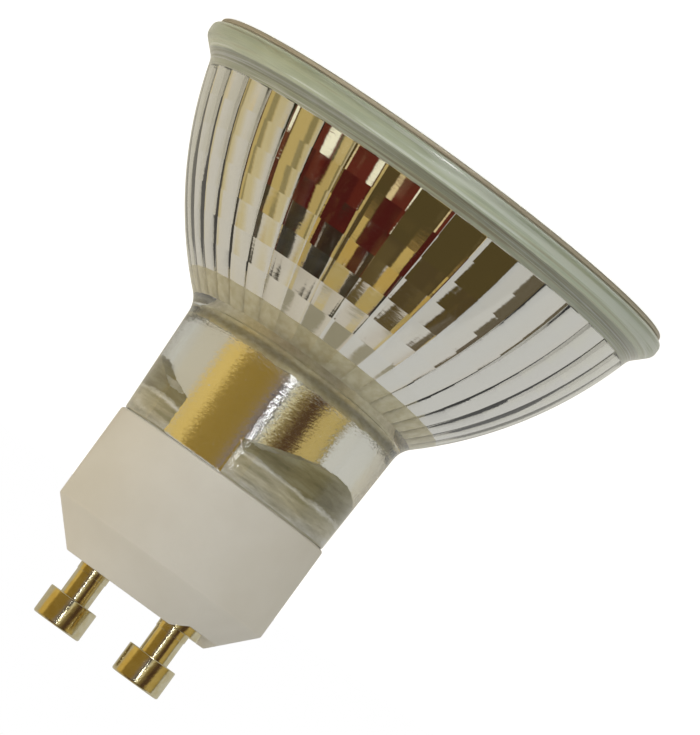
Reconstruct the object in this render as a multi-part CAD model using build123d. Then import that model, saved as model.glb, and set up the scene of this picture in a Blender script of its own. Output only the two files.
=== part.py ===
from build123d import *
import os
from math import acos, cos, hypot, radians, sin, sqrt, tan

# Halogen reflector lamp for mains voltage, with a two-pin twist-lock cap.
# Millimetres. Z is the lamp's axis: the front glass faces down at Z = 0 and the pins point up.
# The two contact pins stand on the X axis.

# Front lens and its adhesive
lens_inset = 0.5
lens_edge = 0.45
lens_flange = 1.2
lens_spigot_depth = 1.5
lens_round = 0.2
adhesive_thickness = 0.12
adhesive_width = 0.8

# Reflector: rim flange
rim_radius = 25.0
rim_land = 1.2
rim_back_angle = 45
rim_front_round = 0.45
rim_back_round = 0.9
rim_root_round = 1.6
lens_clearance = 0.15
rebate_floor_gap = 0.25

# Reflector: bowl
rim_flange = 1.6
bowl_front_z = 3.3
bowl_arc_radius = 39.7
bowl_wall = 2.4
flute_count = 38
flute_rows = 8
flute_front_z = 3.4
flute_floor_z = 19.9
flute_bulge = 0.02
flute_turn = 7.0
collar_relief = 0.2

# Reflector: neck and the spigot that enters the cap
neck_top_radius = 11.48
neck_top_z = 22.15
neck_end_radius = 10.97
neck_root_round = 2.5
neck_end_round = 0.25
spigot_wall = 2.0
spigot_radius = 9.2
spigot_length = 4.6
spigot_round = 0.4
pocket_depth = 1.0
pocket_side_inset = 0.6
pocket_crown_z = 27.5
pocket_side_z = 29.7

# Ceramic cap
cap_front_z = 33.6
cap_radius = 11.2
cap_height = 13.45
cap_bevel_radius = 7.6
cap_bevel_height = 3.85
cap_edge_round = 0.3
cap_bevel_round = 0.3
cement_gap = 0.25
socket_end_gap = 0.8
chamber_radius = 7.4
cap_floor = 4.0
recess_depth = 0.93
recess_radius = 3.2
recess_draft = 41

# Contact pins
pin_spacing = 10.0
pin_head_radius = 2.5
pin_head_length = 2.9
pin_head_round = 0.2
pin_shank_radius = 1.5
pin_shank_length = 3.28
pin_root_radius = 1.56
pin_root_length = 0.7
pin_collar_radius = 2.4
pin_collar_sink = 0.04
pin_tail_radius = 1.3
pin_flare_radius = 2.0
pin_flare_length = 0.5
pin_clearance = 0.03
tail_bore_depth = 2.2

# Quartz burner
burner_radius = 4.5
burner_wall = 1.0
burner_front_z = 7.5
dome_flat_radius = 0.4
burner_neck_z = 22.5
exhaust_tip_length = 1.6
exhaust_tip_radius = 0.9
pinch_width = 10.4
pinch_thickness = 3.4
pinch_end_z = 34.5
pinch_round = 0.8
burner_cement_front_z = 29.0

# Filament, wires and foils
coil_radius = 0.45
coil_leg_offset = 1.6
coil_bend_z = 11.8
coil_end_z = 18.5
hook_wire_radius = 0.15
hook_ring_wire_radius = 0.18
hook_gap = 0.05
hook_root_z = 25.5
inner_wire_radius = 0.2
foil_offset = 2.6
foil_width = 2.0
foil_thickness = 0.05
foil_front_z = 25.0
foil_end_z = 31.5
wire_lap = 1.0
lead_straight = 0.6
outer_wire_radius = 0.3
wire_bend = 1.2
lead_jog_z = 38.6
fuse_radius = 0.9
fuse_length = 2.2
solder_height = 0.35
solder_radius = 0.95

# Places worked out from the sizes above
lens_radius = rim_radius - lens_inset
lens_spigot_radius = lens_radius - lens_flange
neck_bore_radius = spigot_radius - spigot_wall
pocket_half_width = neck_bore_radius - pocket_side_inset
bowl_front_radius = rim_radius - rim_flange
rim_front_z = lens_edge + adhesive_thickness
rebate_radius = lens_spigot_radius + lens_clearance
rebate_floor_z = lens_edge + lens_spigot_depth + rebate_floor_gap
spigot_end_z = cap_front_z + spigot_length
socket_radius = spigot_radius + cement_gap
socket_floor_z = spigot_end_z + socket_end_gap
cap_back_z = cap_front_z + cap_height
chamber_roof_z = cap_back_z - cap_floor
collar_front_z = cap_back_z - recess_depth
shank_end_z = cap_back_z + pin_shank_length
pin_end_z = shank_end_z + pin_head_length
flare_front_z = chamber_roof_z - pin_flare_length
lead_end_z = flare_front_z + tail_bore_depth
fuse_end_z = flare_front_z - 2 * solder_height
fuse_front_z = fuse_end_z - fuse_length
pinch_front_z = burner_neck_z - burner_radius / 2
hook_ring_z = coil_bend_z - coil_leg_offset
hook_ring_radius = coil_radius + hook_gap + hook_ring_wire_radius


def at(r, z):
    """A point in the lamp's radial section."""
    return Vector(r, 0, z)


def outline(*points):
    """Straight edges through the points, closed."""
    return Polyline(*[at(*p) for p in points], close=True).edges()


def rounded(points, rounds):
    """A closed outline through the points, with a radius at each corner that rounds names by its place."""
    face = Face(Wire(outline(*points)))
    for place, radius in rounds.items():
        corner = face.vertices().sort_by_distance(at(*points[place]))[0]
        face = face.fillet_2d(radius, [corner])
    return revolve(face, Axis.Z)


def ring(inner, outer, z0, z1):
    """A flat or tall ring about the lamp's axis."""
    return revolve(Face(Wire(outline((inner, z0), (outer, z0), (outer, z1), (inner, z1)))), Axis.Z)


def post(radius, z0, z1, x=0.0, y=0.0):
    """A round post parallel to the lamp's axis."""
    return Pos(x, y, z0) * Cylinder(radius, z1 - z0, align=(Align.CENTER, Align.CENTER, Align.MIN))


def block(width, depth, z0, z1, x=0.0):
    """A rectangular block centred on the X axis."""
    return Pos(x, 0, z0) * Box(width, depth, z1 - z0, align=(Align.CENTER, Align.CENTER, Align.MIN))


def wire(radius, points, bend):
    """A round wire along straight runs with rounded bends."""
    path = FilletPolyline(*points, radius=bend) if len(points) > 2 else Line(*points)
    start = Plane(origin=path @ 0, z_dir=path % 0)
    return sweep(start * Circle(radius), path=path)


def bowl_arc_centre():
    """Centre of the bowl's arc, on the axis side of its two ends."""
    dr, dz = neck_top_radius - bowl_front_radius, neck_top_z - bowl_front_z
    chord = hypot(dr, dz)
    reach = sqrt(bowl_arc_radius**2 - (chord / 2) ** 2)
    mid_r, mid_z = (bowl_front_radius + neck_top_radius) / 2, (bowl_front_z + neck_top_z) / 2
    return mid_r - dz / chord * reach, mid_z + dr / chord * reach


def bowl_point(radius, z):
    """Distance from the lamp's axis of an arc about the bowl's centre, at a height."""
    centre_r, centre_z = bowl_arc_centre()
    return centre_r + sqrt(radius**2 - (z - centre_z) ** 2)


def reflector_body():
    """Outside of the pressing: rim flange, bowl, neck and spigot, solid to the axis."""
    land_z = rim_front_z + rim_land
    root_z = land_z + (rim_radius - bowl_front_radius) / tan(radians(rim_back_angle))
    root_r = bowl_point(bowl_arc_radius, root_z)
    middle_z = (root_z + neck_top_z) / 2
    middle_r = bowl_point(bowl_arc_radius, middle_z)
    edges = [
        Line(at(0, rim_front_z), at(rim_radius, rim_front_z)),
        Line(at(rim_radius, rim_front_z), at(rim_radius, land_z)),
        Line(at(rim_radius, land_z), at(root_r, root_z)),
        ThreePointArc(at(root_r, root_z), at(middle_r, middle_z), at(neck_top_radius, neck_top_z)),
        Line(at(neck_top_radius, neck_top_z), at(neck_end_radius, cap_front_z)),
        Line(at(neck_end_radius, cap_front_z), at(spigot_radius, cap_front_z)),
        Line(at(spigot_radius, cap_front_z), at(spigot_radius, spigot_end_z)),
        Line(at(spigot_radius, spigot_end_z), at(0, spigot_end_z)),
        Line(at(0, spigot_end_z), at(0, rim_front_z)),
    ]
    face = Face(Wire(edges))
    rounds = [
        ((rim_radius, rim_front_z), rim_front_round),
        ((rim_radius, land_z), rim_back_round),
        ((root_r, root_z), rim_root_round),
        ((neck_top_radius, neck_top_z), neck_root_round),
        ((neck_end_radius, cap_front_z), neck_end_round),
        ((spigot_radius, spigot_end_z), spigot_round),
    ]
    for corner, radius in rounds:
        vertex = face.vertices().sort_by_distance(at(*corner))[0]
        face = face.fillet_2d(radius, [vertex])
    return revolve(face, Axis.Z)


def flute_section(radius, z):
    """One level of the fluted inside: a ring of arcs that bulge towards the axis."""
    step = 360 / flute_count
    chord = 2 * radius * sin(radians(step / 2))
    crest = radius * cos(radians(step / 2)) - flute_bulge * chord
    edges = []
    for i in range(flute_count):
        start = flute_turn + i * step
        ends = [(radius, start), (crest, start + step / 2), (radius, start + step)]
        edges.append(ThreePointArc(*[(r * cos(radians(a)), r * sin(radians(a)), z) for r, a in ends]))
    return Face(Wire(edges))


def fluted_cavity():
    """The space inside the bowl: rows of flutes, each row straight along the bowl's curve."""
    inner = bowl_arc_radius - bowl_wall
    centre_r, centre_z = bowl_arc_centre()
    first = acos((flute_front_z - centre_z) / inner)
    last = acos((flute_floor_z - centre_z) / inner)
    sections = []
    for row in range(flute_rows + 1):
        angle = first + (last - first) * row / flute_rows
        sections.append(flute_section(centre_r + inner * sin(angle), centre_z + inner * cos(angle)))
    return loft(sections, ruled=True)


def neck_pockets():
    """Two arched pockets in the bore, one at each pin, that the cement keys into."""
    w = pocket_half_width
    arch = [
        ThreePointArc((0, -w, pocket_side_z), (0, 0, pocket_crown_z), (0, w, pocket_side_z)),
        Line((0, w, pocket_side_z), (0, w, spigot_end_z)),
        Line((0, w, spigot_end_z), (0, -w, spigot_end_z)),
        Line((0, -w, spigot_end_z), (0, -w, pocket_side_z)),
    ]
    reach = neck_bore_radius + pocket_depth
    slab = extrude(Face(Wire(arch)), amount=reach, dir=(1, 0, 0), both=True)
    return slab & post(reach, pocket_crown_z - 1, spigot_end_z)


def make_reflector():
    """Pressed glass bowl and neck."""
    collar_r = bowl_point(bowl_arc_radius - bowl_wall, flute_front_z) + collar_relief
    body = reflector_body()
    body -= post(rebate_radius, rim_front_z, rebate_floor_z)
    body -= post(collar_r, rebate_floor_z, flute_front_z)
    body -= fluted_cavity()
    body -= post(neck_bore_radius, flute_floor_z, spigot_end_z)
    return body - neck_pockets()


def make_cover_glass():
    """Front lens: a thin flange on the rim and a spigot inside it."""
    back_z = lens_edge + lens_spigot_depth
    points = [(0, 0), (lens_radius, 0), (lens_radius, lens_edge), (lens_spigot_radius, lens_edge),
              (lens_spigot_radius, back_z), (0, back_z)]
    return rounded(points, {1: lens_round, 4: lens_round})


def make_lens_adhesive():
    """Thin ring between the lens flange and the rim."""
    outer = lens_radius - lens_round / 2
    return ring(outer - adhesive_width, outer, lens_edge, rim_front_z)


def pin_places():
    """The two pins, one each side of the axis."""
    return [(1, pin_spacing / 2), (2, -pin_spacing / 2)]


def recess_tool(x):
    """Drafted recess round a pin collar, open to the bevel on its outer side."""
    side = 1 if x > 0 else -1
    plan = Pos(x, 0, collar_front_z) * Circle(recess_radius)
    plan += Pos(x + side * cap_radius / 2, 0, collar_front_z) * Rectangle(cap_radius, 2 * recess_radius)
    return extrude(plan, amount=recess_depth + cap_edge_round, taper=-recess_draft)


def make_ceramic_cap():
    """Ceramic base: cup for the neck, wire chamber, floor with the pin holes, bevelled back."""
    bevel_z = cap_back_z - cap_bevel_height
    points = [(0, cap_front_z), (cap_radius, cap_front_z), (cap_radius, bevel_z),
              (cap_bevel_radius, cap_back_z), (0, cap_back_z)]
    cap = rounded(points, {1: cap_edge_round, 2: cap_bevel_round, 3: cap_bevel_round})
    cap -= post(socket_radius, cap_front_z, socket_floor_z)
    cap -= post(chamber_radius, socket_floor_z, chamber_roof_z)
    for _, x in pin_places():
        cap -= recess_tool(x)
        cap -= post(pin_tail_radius + pin_clearance, chamber_roof_z, collar_front_z, x)
    return cap


def make_cap_cement():
    """Cement between the neck's spigot and the cap's socket, and under its end."""
    sleeve = ring(spigot_radius + spigot_round / 4, socket_radius, cap_front_z, spigot_end_z)
    foot = ring(neck_bore_radius + pocket_depth, socket_radius, spigot_end_z, socket_floor_z)
    return sleeve + foot


def make_contact_pin(x):
    """Turned pin: flared tail, collar in its recess, shank with a root ring, and head."""
    collar_end_z = cap_back_z - pin_collar_sink
    root_end_z = cap_back_z + pin_root_length
    points = [(0, flare_front_z), (pin_flare_radius, flare_front_z), (pin_flare_radius, chamber_roof_z),
              (pin_tail_radius, chamber_roof_z), (pin_tail_radius, collar_front_z),
              (pin_collar_radius, collar_front_z), (pin_collar_radius, collar_end_z),
              (pin_root_radius, collar_end_z), (pin_root_radius, root_end_z),
              (pin_shank_radius, root_end_z), (pin_shank_radius, shank_end_z),
              (pin_head_radius, shank_end_z), (pin_head_radius, pin_end_z), (0, pin_end_z)]
    pin = rounded(points, {11: pin_head_round / 2, 12: pin_head_round})
    pin -= post(outer_wire_radius + pin_clearance, flare_front_z, lead_end_z)
    return Pos(x, 0, 0) * pin


def domed(radius, centre_z, end_z):
    """A round body with a half-round front, from its dome to a flat end."""
    lean = radius * sqrt(0.5)
    front_z = centre_z - sqrt(radius**2 - dome_flat_radius**2)
    edges = [
        Line(at(0, front_z), at(dome_flat_radius, front_z)),
        ThreePointArc(at(dome_flat_radius, front_z), at(lean, centre_z - lean), at(radius, centre_z)),
        Line(at(radius, centre_z), at(radius, end_z)),
        Line(at(radius, end_z), at(0, end_z)),
        Line(at(0, end_z), at(0, front_z)),
    ]
    return revolve(Face(Wire(edges)), Axis.Z)


def make_burner_envelope():
    """Quartz capsule: domed tube with an exhaust tip, closed by a flat pinch."""
    dome_z = burner_front_z + burner_radius
    tip_z = burner_front_z - exhaust_tip_length
    tip_root_z = burner_front_z + burner_wall / 2
    tip = [(0, tip_z), (exhaust_tip_radius / 3, tip_z), (exhaust_tip_radius, tip_root_z), (0, tip_root_z)]
    pinch = block(pinch_width, pinch_thickness, pinch_front_z, pinch_end_z)
    pinch = fillet(pinch.edges().filter_by(Axis.Z), pinch_round)
    shell = domed(burner_radius, dome_z, burner_neck_z) + rounded(tip, {}) + pinch
    shell -= domed(burner_radius - burner_wall, dome_z, pinch_front_z)
    for _, side in pin_places():
        x = foil_offset if side > 0 else -foil_offset
        shell -= block(foil_width, foil_thickness, foil_front_z, foil_end_z, x)
        shell -= make_inner_lead(x)
        shell -= post(outer_wire_radius, foil_end_z - wire_lap, pinch_end_z, x)
    return shell - make_hook_stem()


def hairpin(radius):
    """The filament's line: two legs joined by a round bend at the front."""
    x, bend = coil_leg_offset, coil_bend_z
    path = Wire([
        Line((-x, 0, coil_end_z), (-x, 0, bend)),
        ThreePointArc((-x, 0, bend), (0, 0, bend - x), (x, 0, bend)),
        Line((x, 0, bend), (x, 0, coil_end_z)),
    ])
    start = Plane(origin=(-x, 0, coil_end_z), z_dir=(0, 0, -1))
    return sweep(start * Circle(radius), path=path)


def make_hook_stem():
    """Straight wire on the axis, from the hook's ring to its root in the pinch."""
    return post(hook_wire_radius, hook_ring_z + hook_ring_radius, hook_root_z)


def make_filament_support():
    """Stem with a ring at its end that the coil's bend passes through."""
    hook = Pos(0, 0, hook_ring_z) * Rot(0, 90, 0) * Torus(hook_ring_radius, hook_ring_wire_radius)
    return hook + make_hook_stem()


def make_inner_lead(x):
    """Wire from the foil to one end of the coil."""
    leg = coil_leg_offset if x > 0 else -coil_leg_offset
    bend_z = coil_end_z + lead_straight + wire_bend
    points = [(leg, 0, coil_end_z), (leg, 0, bend_z), (x, 0, bend_z + wire_bend), (x, 0, foil_front_z + wire_lap)]
    return wire(inner_wire_radius, points, wire_bend / 2)


def make_seal_foil(x):
    """Molybdenum foil in the pinch, notched for the two wires welded to it."""
    foil = block(foil_width, foil_thickness, foil_front_z, foil_end_z, x)
    foil -= post(inner_wire_radius, foil_front_z, foil_front_z + wire_lap, x)
    return foil - post(outer_wire_radius, foil_end_z - wire_lap, foil_end_z, x)


def make_outer_lead(x, end_x, end_z):
    """Wire from the foil through the cement, out to the line of its pin."""
    jog = abs(end_x - x)
    inner_run = [(x, 0, foil_end_z - wire_lap), (x, 0, lead_jog_z - jog)]
    outer_run = [(end_x, 0, lead_jog_z), (end_x, 0, end_z)]
    return wire(outer_wire_radius, inner_run + outer_run, wire_bend)


def make_fuse_body(x):
    """Short fuse tube in line with its pin."""
    body = post(fuse_radius, fuse_front_z, fuse_end_z, x)
    return fillet(body.edges(), fuse_radius / 3)


def make_pin_solder(x):
    """Drop of solder at the flare, round the wire."""
    drop = Pos(x, 0, flare_front_z) * Cone(outer_wire_radius * 1.5, solder_radius, solder_height,
                                           align=(Align.CENTER, Align.CENTER, Align.MAX))
    return drop - post(outer_wire_radius, flare_front_z - solder_height, flare_front_z, x)


def make_burner_cement():
    """Cement round the pinch, filling the neck and its pockets."""
    fill = post(neck_bore_radius, burner_cement_front_z, spigot_end_z)
    fill += neck_pockets() & post(cap_radius, burner_cement_front_z, spigot_end_z)
    pinch = block(pinch_width, pinch_thickness, burner_cement_front_z, pinch_end_z)
    fill -= fillet(pinch.edges().filter_by(Axis.Z), pinch_round)
    for x, end_x in ((foil_offset, pin_spacing / 2), (-foil_offset, -pin_spacing / 2)):
        fill -= make_outer_lead(x, end_x, lead_end_z)
    return fill


os.makedirs("parts", exist_ok=True)
nodes = {
    "reflector": make_reflector(),
    "cover_glass": make_cover_glass(),
    "lens_adhesive": make_lens_adhesive(),
    "ceramic_cap": make_ceramic_cap(),
    "cap_cement": make_cap_cement(),
    "burner_envelope": make_burner_envelope(),
    "burner_cement": make_burner_cement(),
    "filament_coil": hairpin(coil_radius),
    "filament_support": make_filament_support(),
    "outer_lead_1": make_outer_lead(foil_offset, pin_spacing / 2, lead_end_z),
    "outer_lead_2": make_outer_lead(-foil_offset, -pin_spacing / 2, fuse_front_z),
    "fuse_body": make_fuse_body(-pin_spacing / 2),
    "fuse_lead": post(outer_wire_radius, fuse_end_z, lead_end_z, -pin_spacing / 2),
}
for number, x in pin_places():
    side = foil_offset if x > 0 else -foil_offset
    nodes[f"contact_pin_{number}"] = make_contact_pin(x)
    nodes[f"inner_lead_{number}"] = make_inner_lead(side)
    nodes[f"seal_foil_{number}"] = make_seal_foil(side)
    nodes[f"pin_solder_{number}"] = make_pin_solder(x)

for name, shape in nodes.items():
    export_step(shape, f"parts/{name}.step")
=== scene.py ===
from math import acos, cos, hypot, pi, radians, sin, sqrt, tan

import bmesh
import bpy
from mathutils import Matrix, Vector


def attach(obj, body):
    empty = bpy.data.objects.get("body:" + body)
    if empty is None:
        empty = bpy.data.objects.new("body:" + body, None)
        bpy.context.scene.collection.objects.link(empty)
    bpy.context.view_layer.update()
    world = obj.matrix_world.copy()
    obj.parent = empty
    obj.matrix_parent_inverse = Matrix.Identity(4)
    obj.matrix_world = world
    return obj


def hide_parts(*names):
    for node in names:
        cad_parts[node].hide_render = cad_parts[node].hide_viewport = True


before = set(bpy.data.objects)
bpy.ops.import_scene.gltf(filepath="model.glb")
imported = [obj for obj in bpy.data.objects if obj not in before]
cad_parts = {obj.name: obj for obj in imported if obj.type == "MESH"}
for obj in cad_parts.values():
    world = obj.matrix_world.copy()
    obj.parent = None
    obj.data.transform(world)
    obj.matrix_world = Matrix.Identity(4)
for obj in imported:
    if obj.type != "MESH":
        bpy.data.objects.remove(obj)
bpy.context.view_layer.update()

scene = bpy.context.scene
scene.view_settings.view_transform = "Standard"


# Camera
# It stands half a metre away, beside the lamp and a little towards its pins, rolled so that the lamp's axis
# runs from lower left to upper right. Lengths in this file are in millimetres, and MM takes them to metres.
MM = 0.001
view_azimuth = radians(61.6)
view_distance, view_height = 502.883, 47.281
aim_side, aim_height = 3.360, 18.694
picture_roll = radians(36.088)
focal_pixels, picture_height = 5567.0, 735
sensor_width = 36

side_axis = Vector((sin(view_azimuth), -cos(view_azimuth), 0))
near_axis = Vector((cos(view_azimuth), sin(view_azimuth), 0))
eye = near_axis * view_distance + Vector((0, 0, view_height))
aim = side_axis * aim_side + Vector((0, 0, aim_height))
ahead = (aim - eye).normalized()
down = Vector((0, 0, -1))
down = (down - ahead * down.dot(ahead)).normalized()
across = ahead.cross(down)
right = across * cos(picture_roll) + down * sin(picture_roll)
upward = down * cos(picture_roll) - across * sin(picture_roll)
camera = bpy.data.objects.new("camera", bpy.data.cameras.new("camera"))
camera.data.sensor_width = sensor_width
camera.data.lens = focal_pixels / picture_height * sensor_width
camera.data.clip_start = 0.01
turn = Matrix((right, upward, -ahead)).transposed().to_4x4()
camera.matrix_world = Matrix.Translation(eye * MM) @ turn
scene.collection.objects.link(camera)
scene.camera = camera


# Reflector
# One pressing of clear soda-lime glass: a rim flange, a bowl on one long arc and a tapered neck. The plunger
# leaves a step for the lens, thirty-eight flutes in eight straight rows, and a bore with two arched pockets
# that the burner's cement keys into. The inside is coated with a film of aluminium.
rim_radius, rim_front, rim_back = 25.0, 0.57, 1.77
front_round, back_round, root_round = 0.45, 0.9, 1.6
step_radius, step_floor = 23.45, 2.2
bowl_radius, bowl_wall = 39.7, 2.4
bowl_start, bowl_end = (23.4, 3.3), (11.48, 22.15)
bowl_front = 3.37
neck_end, neck_round, neck_end_round = (10.97, 33.58), 2.5, 0.25
spigot_radius, spigot_end = 9.18, 38.2
bore_radius, bore_front, bore_chamfer = 7.22, 19.9, 0.15
pocket_radius, pocket_half_width = 8.22, 6.6
pocket_crown, pocket_side = 27.5, 29.7
flutes, flute_rows, flute_front = 38, 8, 3.4
flute_turn = radians(7.0)
flute_angle = 2 * pi / flutes
bulge_share = 0.02
joint_width, joint_depth = 0.18, 0.02
collar_ledge = 0.2
# The mesh has ten strips to a flute, so that each flute shines as a curved rib. Its level rings keep a gap to
# the pockets' arched edge, and points closer than same_place, in metres, are one.
flute_strips = 10
strips = flutes * flute_strips
arc_steps, neck_steps, pocket_steps, bore_steps = 48, 12, 12, 15
edge_gap = 0.3
same_place = 1e-7

dr, dz = bowl_end[0] - bowl_start[0], bowl_end[1] - bowl_start[1]
half_chord = hypot(dr, dz) / 2
lift = sqrt(bowl_radius**2 - half_chord**2)
bowl_centre = ((bowl_start[0] + bowl_end[0]) / 2 - dz / (2 * half_chord) * lift,
               (bowl_start[1] + bowl_end[1]) / 2 + dr / (2 * half_chord) * lift)


def bowl_at(radius, angle):
    """Point of an arc about the bowl's centre; the angle is from the lamp's axis."""
    return bowl_centre[0] + radius * sin(angle), bowl_centre[1] + radius * cos(angle)


def bowl_angle(radius, z):
    """Angle of an arc about the bowl's centre at a height."""
    return acos((z - bowl_centre[1]) / radius)


def eased(corners, steps=6):
    """A profile from (r, z, round) corners, each corner with its own radius."""
    line = []
    last = len(corners) - 1
    for k, (r, z, radius) in enumerate(corners):
        if not radius or k in (0, last):
            line.append((r, z))
            continue
        here = Vector((r, z))
        before = (Vector(corners[k - 1][:2]) - here).normalized()
        after = (Vector(corners[k + 1][:2]) - here).normalized()
        half = before.angle(after) / 2
        reach = radius / tan(half)
        start, end = here + before * reach, here + after * reach
        weight = sin(half)
        for n in range(steps + 1):
            s = n / steps
            a, b, c = (1 - s) ** 2, 2 * weight * s * (1 - s), s * s
            line.append(tuple((start * a + here * b + end * c) / (a + b + c)))
    return line


arc_from, arc_to = bowl_angle(bowl_radius, bowl_front), bowl_angle(bowl_radius, bowl_end[1])
arc = [bowl_at(bowl_radius, arc_from + (arc_to - arc_from) * n / arc_steps) for n in range(arc_steps + 1)]
# The fillets at the rim's root and at the neck take the place of the arc's first three and last four points
outside = eased([
    (step_radius, rim_front, 0), (rim_radius, rim_front, front_round), (rim_radius, rim_back, back_round),
    (*arc[0], root_round), (*arc[3], 0),
])[:-1]
outside += arc[3:-4]
outside += eased([(*arc[-4], 0), (*arc[-1], neck_round), (*neck_end, 0)])[1:-1]
neck_start = outside[-1]
outside += [(neck_start[0] + (neck_end[0] - neck_start[0]) * n / neck_steps,
             neck_start[1] + (neck_end[1] - neck_start[1]) * n / neck_steps) for n in range(1, neck_steps)]
outside += eased([(*outside[-1], 0), (*neck_end, neck_end_round), (spigot_radius, neck_end[1], 0)])[1:-1]
outside += [(spigot_radius, neck_end[1]), (spigot_radius, spigot_end)]


def shaped_ring(radius_at, height_at):
    """A ring in step with the flutes; its radius follows the angle, and its height follows Y."""
    ring = []
    for i in range(strips):
        angle = flute_turn + flute_angle * i / flute_strips
        r = radius_at(angle)
        ring.append((r * cos(angle), r * sin(angle), height_at(r * sin(angle))))
    return ring


def plain_ring(r, z):
    """A round and level ring."""
    return shaped_ring(lambda angle: r, lambda y: z)


def fluted_ring(r, z):
    """A level ring of arcs that bulge towards the axis, with a fine groove at each joint."""
    ring = []
    half = r * sin(flute_angle / 2)
    lip = joint_width / half
    for flute in range(flutes):
        middle = flute_turn + flute_angle * (flute + 0.5)
        for n in range(flute_strips):
            t = -1 if n == 0 else (1 - lip) * (2 * (n - 1) / (flute_strips - 2) - 1)
            deep = r * cos(flute_angle / 2) - bulge_share * 2 * half * (1 - t * t)
            deep += joint_depth if n == 0 else 0
            wide = t * half
            x = deep * cos(middle) - wide * sin(middle)
            y = deep * sin(middle) + wide * cos(middle)
            ring.append((x, y, z))
    return ring


def pocket_wall(angle):
    """Distance of the bore's wall from the axis, where a flat-sided pocket may widen it."""
    reach = pocket_half_width / max(abs(sin(angle)), 1e-6)
    return min(max(reach, bore_radius), pocket_radius)


def pocket_edge(y):
    """Height of the pocket's arched front edge."""
    rise = pocket_side - pocket_crown
    arch = (pocket_half_width**2 + rise**2) / (2 * rise)
    y = min(abs(y), pocket_half_width)
    return pocket_crown + arch - sqrt(arch**2 - y * y)


# The rings run from the lens's step round the outside to the spigot, and back through the bore and the bowl
rings = [plain_ring(r, z) for r, z in outside]
for n in range(pocket_steps + 1):
    z = spigot_end + (pocket_side + edge_gap - spigot_end) * n / pocket_steps
    rings.append(shaped_ring(pocket_wall, lambda y: z))
rings.append(shaped_ring(pocket_wall, pocket_edge))
rings.append(shaped_ring(lambda angle: bore_radius, pocket_edge))
bore_first = len(rings)
bore_top, bore_bottom = pocket_crown - edge_gap, bore_front + bore_chamfer
rings += [plain_ring(bore_radius, bore_top + (bore_bottom - bore_top) * n / bore_steps)
          for n in range(bore_steps + 1)]
rings.append(plain_ring(bore_radius + bore_chamfer, bore_front))
inner_radius = bowl_radius - bowl_wall
inner_from, inner_to = bowl_angle(inner_radius, flute_front), bowl_angle(inner_radius, bore_front)
row_first = len(rings)
for row in range(flute_rows, -1, -1):
    angle = inner_from + (inner_to - inner_from) * row / flute_rows
    rings.append(fluted_ring(*bowl_at(inner_radius, angle)))
row_last = len(rings) - 1
collar_radius = bowl_at(inner_radius, inner_from)[0] + collar_ledge
rings += [plain_ring(collar_radius, flute_front), plain_ring(collar_radius, step_floor),
          plain_ring(step_radius, step_floor)]


def linear(code):
    """A colour written as sRGB hex, as linear RGBA."""
    parts = [int(code[i:i + 2], 16) / 255 for i in (1, 3, 5)]
    return [p / 12.92 if p <= 0.04045 else ((p + 0.055) / 1.055) ** 2.4 for p in parts] + [1.0]


def put(tree, kind, inputs=None, stops=(), **settings):
    """A node with its settings, its links and its ramp's (place, sRGB hex) stops.

    An input is a value, a socket, or a node, which stands for its first output.
    """
    node = tree.nodes.new("ShaderNode" + kind)
    for key, value in settings.items():
        setattr(node, key, value)
    for key, value in (inputs or {}).items():
        if isinstance(value, bpy.types.Node):
            value = value.outputs[0]
        if isinstance(value, bpy.types.NodeSocket):
            tree.links.new(value, node.inputs[key])
        else:
            node.inputs[key].default_value = value
    if stops:
        marks = node.color_ramp.elements
        while len(marks) < len(stops):
            marks.new(1.0)
        for mark, (at, code) in zip(marks, stops):
            mark.position = at
            mark.color = linear(code)
    return node


def new_material(name):
    """A material, its empty tree, and the place of a point on the lamp in metres."""
    material = bpy.data.materials.new(name)
    material.use_nodes = True
    tree = material.node_tree
    tree.nodes.clear()
    return material, tree, put(tree, "TexCoord").outputs["Object"]


def ring_places(tree, spot, drift=0.02):
    """Places for a pattern that runs in rings round the lamp's axis and drifts slowly along them."""
    flat = put(tree, "VectorMath", {0: spot, 1: (1, 1, 0)}, operation="MULTIPLY")
    out = put(tree, "VectorMath", {0: flat}, operation="LENGTH").outputs["Value"]
    parts = put(tree, "SeparateXYZ", {"Vector": spot}).outputs
    along = put(tree, "Math", {0: parts["X"], 1: drift}, operation="MULTIPLY")
    return put(tree, "CombineXYZ", {"X": out, "Y": along, "Z": parts["Z"]})


glass, tree, spot = new_material("pressed_soda_lime_glass")
# Pressed soda-lime glass: it looks green through the thick rim and nearly clear in the wall. The mould leaves
# slow waves all over, fine rings that frost the rim, and a pebbled skin where the glass chilled at the neck.
green_to, clear_from = 2.0, 4.5
rim_frosted, rim_clear = 2.6, 3.2
bowl_smooth, neck_pebbled = 22.0, 23.0
wave_size, wave_depth = 3.0, 0.004
ring_size, ring_depth = 0.6, 0.05
pebble_size, pebble_depth = 0.36, 0.02
height = put(tree, "SeparateXYZ", {"Vector": spot}).outputs["Z"]
depth = put(tree, "MapRange", {"Value": height, "From Min": green_to * MM, "From Max": clear_from * MM})
tint = put(tree, "ValToRGB", {"Fac": depth}, stops=[(0.0, "#e7f1e5"), (1.0, "#f8f9f7")])
waves = put(tree, "TexNoise", {"Vector": spot, "Scale": 1 / (wave_size * MM), "Detail": 1.0})
surface = put(tree, "Bump", {"Height": waves, "Distance": wave_depth * MM})
on_rim = put(tree, "MapRange", {"Value": height, "From Min": rim_clear * MM, "From Max": rim_frosted * MM})
mould_rings = put(tree, "TexNoise", {
    "Vector": ring_places(tree, spot), "Scale": 1 / (ring_size * MM), "Detail": 3.0, "Roughness": 0.6,
})
mould_rings = put(tree, "Math", {0: mould_rings, 1: on_rim}, operation="MULTIPLY")
surface = put(tree, "Bump", {"Height": mould_rings, "Distance": ring_depth * MM, "Normal": surface})
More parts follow.
